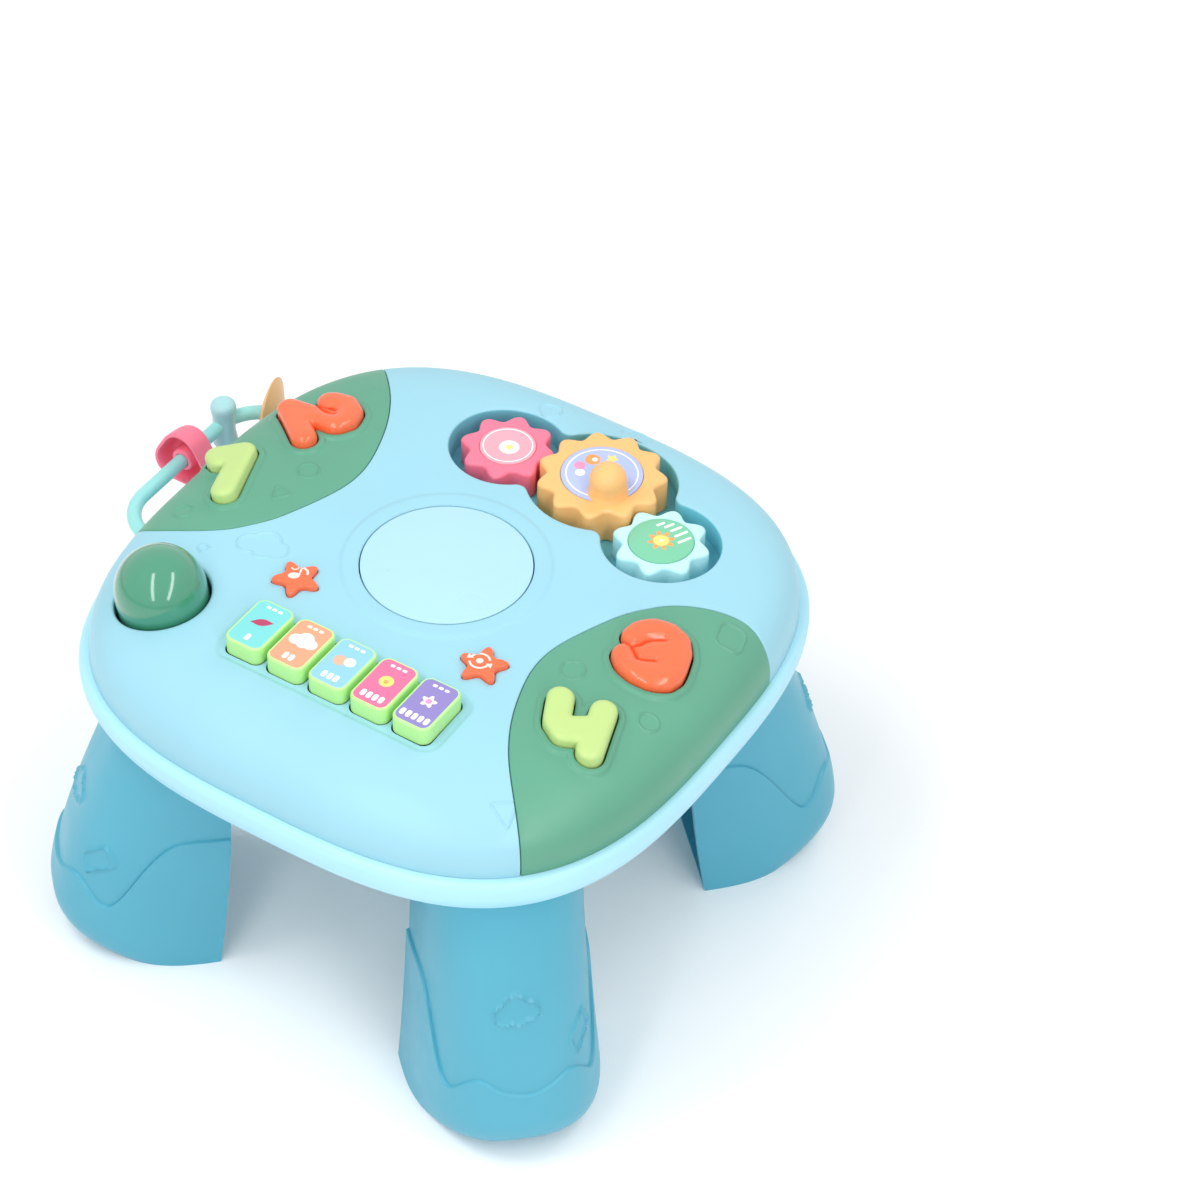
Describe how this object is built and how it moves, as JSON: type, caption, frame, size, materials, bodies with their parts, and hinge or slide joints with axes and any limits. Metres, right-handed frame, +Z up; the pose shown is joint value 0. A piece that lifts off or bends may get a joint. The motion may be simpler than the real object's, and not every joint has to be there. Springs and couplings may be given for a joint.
{
  "type": "musical activity table",
  "caption": "Low activity table for a baby: domed rounded-square top with lens, keys, number buttons, gears, dome button, bead rail on the left and four wide legs.",
  "frame": {"origin": "on the floor, under the middle of the bounding box of the whole table with its bead rail", "axes": "+X to the right seen from the key side, +Y to the gear side (back), +Z up"},
  "size_m": [0.373, 0.3298, 0.234],
  "materials": {
    "sky_plastic": "satin moulded ABS",
    "pale_plastic": "satin moulded ABS",
    "leaf_plastic": "satin moulded ABS",
    "leg_plastic": "fine matt grain",
    "lime_plastic": "satin moulded ABS",
    "coral_plastic": "glossy moulded ABS",
    "pale_green_plastic": "glossy moulded ABS",
    "dome_plastic": "glossy moulded ABS",
    "lens_plastic": "milky translucent",
    "rose_plastic": "satin moulded ABS",
    "sand_plastic": "satin moulded ABS",
    "mint_plastic": "satin moulded ABS",
    "amber_plastic": "satin moulded ABS",
    "disc_sticker": "printed film",
    "black_plastic": "fine matt grain",
    "circuit_board": "solder resist",
    "switch_rubber": "moulded silicone",
    "zinc_steel": "bright zinc plate",
    "battery_jacket": "printed sleeve"
  },
  "bodies": {
    "root": {"top_shell": "sky_plastic", "base_shell": "pale_plastic", "left_leaf_panel": "leaf_plastic", "right_leaf_panel": "leaf_plastic", "leg_front_left": "leg_plastic", "leg_front_right": "leg_plastic", "leg_rear_left": "leg_plastic", "leg_rear_right": "leg_plastic", "gear_spindles": "zinc_steel", "gear_screws": "zinc_steel", "rail_tube": "mint_plastic", "key_switch_board": "circuit_board", "key_pads": "switch_rubber", "number_switch_boards": "circuit_board", "number_pads": "switch_rubber", "star_switch_boards": "circuit_board", "star_pads": "switch_rubber", "dome_switch_board": "circuit_board", "dome_pad": "switch_rubber", "led_board": "circuit_board", "lens_pads": "switch_rubber", "circuit_board": "circuit_board", "speaker": "black_plastic", "speaker_screws": "zinc_steel", "switch_housing": "black_plastic", "battery_door": "pale_plastic", "battery_door_screw": "zinc_steel", "batteries": "battery_jacket", "battery_contacts": "zinc_steel", "case_screws": "zinc_steel"},
    "key_1": {"key_1": "lime_plastic"},
    "key_2": {"key_2": "lime_plastic"},
    "key_3": {"key_3": "lime_plastic"},
    "key_4": {"key_4": "lime_plastic"},
    "key_5": {"key_5": "lime_plastic"},
    "number_1": {"number_1": "pale_green_plastic"},
    "number_2": {"number_2": "coral_plastic"},
    "number_3": {"number_3": "coral_plastic"},
    "number_4": {"number_4": "pale_green_plastic"},
    "star_left": {"star_left": "coral_plastic"},
    "star_right": {"star_right": "coral_plastic"},
    "dome_button": {"dome_button": "dome_plastic"},
    "light_lens": {"light_lens": "lens_plastic"},
    "gear_left": {"gear_left": "rose_plastic", "gear_left_insert": "disc_sticker"},
    "gear_middle": {"gear_middle": "sand_plastic", "gear_middle_insert": "disc_sticker"},
    "gear_right": {"gear_right": "mint_plastic", "gear_right_insert": "disc_sticker"},
    "bead_bell": {"bead_bell": "rose_plastic"},
    "bead_spool": {"bead_spool": "pale_plastic"},
    "bead_disc": {"bead_disc": "amber_plastic"},
    "switch_slider": {"switch_slider": "black_plastic"}
  },
  "joints": [
    {"name": "key_1_press", "type": "slide", "parent": "root", "child": "key_1", "axis": [0, 0, -1], "range_m": [0, 0.0028], "stiffness_N_per_m": 600, "springref_m": -0.002, "deforming": ["key_pads"]},
    {"name": "key_2_press", "type": "slide", "parent": "root", "child": "key_2", "axis": [0, 0, -1], "range_m": [0, 0.0028], "stiffness_N_per_m": 600, "springref_m": -0.002, "deforming": ["key_pads"]},
    {"name": "key_3_press", "type": "slide", "parent": "root", "child": "key_3", "axis": [0, 0, -1], "range_m": [0, 0.0028], "stiffness_N_per_m": 600, "springref_m": -0.002, "deforming": ["key_pads"]},
    {"name": "key_4_press", "type": "slide", "parent": "root", "child": "key_4", "axis": [0, 0, -1], "range_m": [0, 0.0028], "stiffness_N_per_m": 600, "springref_m": -0.002, "deforming": ["key_pads"]},
    {"name": "key_5_press", "type": "slide", "parent": "root", "child": "key_5", "axis": [0, 0, -1], "range_m": [0, 0.0028], "stiffness_N_per_m": 600, "springref_m": -0.002, "deforming": ["key_pads"]},
    {"name": "number_1_press", "type": "slide", "parent": "root", "child": "number_1", "axis": [0.1665, 0.0002, -0.986], "range_m": [0, 0.0024], "stiffness_N_per_m": 700, "springref_m": -0.002, "deforming": ["number_pads"]},
    {"name": "number_2_press", "type": "slide", "parent": "root", "child": "number_2", "axis": [0.1054, -0.0226, -0.9942], "range_m": [0, 0.0024], "stiffness_N_per_m": 700, "springref_m": -0.002, "deforming": ["number_pads"]},
    {"name": "number_3_press", "type": "slide", "parent": "root", "child": "number_3", "axis": [-0.1187, 0, -0.9929], "range_m": [0, 0.0024], "stiffness_N_per_m": 700, "springref_m": -0.002, "deforming": ["number_pads"]},
    {"name": "number_4_press", "type": "slide", "parent": "root", "child": "number_4", "axis": [-0.1231, 0.0308, -0.9919], "range_m": [0, 0.0024], "stiffness_N_per_m": 700, "springref_m": -0.002, "deforming": ["number_pads"]},
    {"name": "star_left_press", "type": "slide", "parent": "root", "child": "star_left", "axis": [0, 0, -1], "range_m": [0, 0.002], "stiffness_N_per_m": 500, "springref_m": -0.0015, "deforming": ["star_pads"]},
    {"name": "star_right_press", "type": "slide", "parent": "root", "child": "star_right", "axis": [0, 0, -1], "range_m": [0, 0.002], "stiffness_N_per_m": 500, "springref_m": -0.0015, "deforming": ["star_pads"]},
    {"name": "dome_press", "type": "slide", "parent": "root", "child": "dome_button", "axis": [0.1132, 0.0776, -0.9905], "range_m": [0, 0.0035], "stiffness_N_per_m": 600, "springref_m": -0.002, "deforming": ["dome_pad"]},
    {"name": "lens_press", "type": "slide", "parent": "root", "child": "light_lens", "axis": [0, 0, -1], "range_m": [0, 0.002], "stiffness_N_per_m": 1200, "springref_m": -0.0015, "deforming": ["lens_pads"]},
    {"name": "gear_middle_spin", "type": "hinge", "parent": "root", "child": "gear_middle", "pos_m": [0.05072, 0.098, 0.201], "axis": [0, 0, 1], "continuous": true},
    {"name": "gear_left_spin", "type": "hinge", "parent": "root", "child": "gear_left", "pos_m": [-0.00329, 0.09347, 0.201], "axis": [0, 0, 1], "continuous": true},
    {"name": "gear_right_spin", "type": "hinge", "parent": "root", "child": "gear_right", "pos_m": [0.10001, 0.07544, 0.201], "axis": [0, 0, 1], "continuous": true},
    {"name": "bead_spool_spin", "type": "hinge", "parent": "root", "child": "bead_spool", "pos_m": [-0.16903, 0.07048, 0.163], "axis": [-0.1392, -0.9903, 0], "continuous": true},
    {"name": "bead_disc_spin", "type": "hinge", "parent": "root", "child": "bead_disc", "pos_m": [-0.152, 0.09078, 0.163], "axis": [-0.9511, -0.309, 0], "continuous": true},
    {"name": "bead_bell_slide", "type": "slide", "parent": "root", "child": "bead_bell", "axis": [0, 1, 0], "range_m": [-0.031, 0.013]},
    {"name": "power_switch_slide", "type": "slide", "parent": "root", "child": "switch_slider", "axis": [1, 0, 0], "range_m": [0, 0.005]}
  ],
  "couplings": [
    {"joint": "gear_left_spin", "follows": "gear_middle_spin", "ratio": -1.375},
    {"joint": "gear_right_spin", "follows": "gear_middle_spin", "ratio": -1.375}
  ]
}
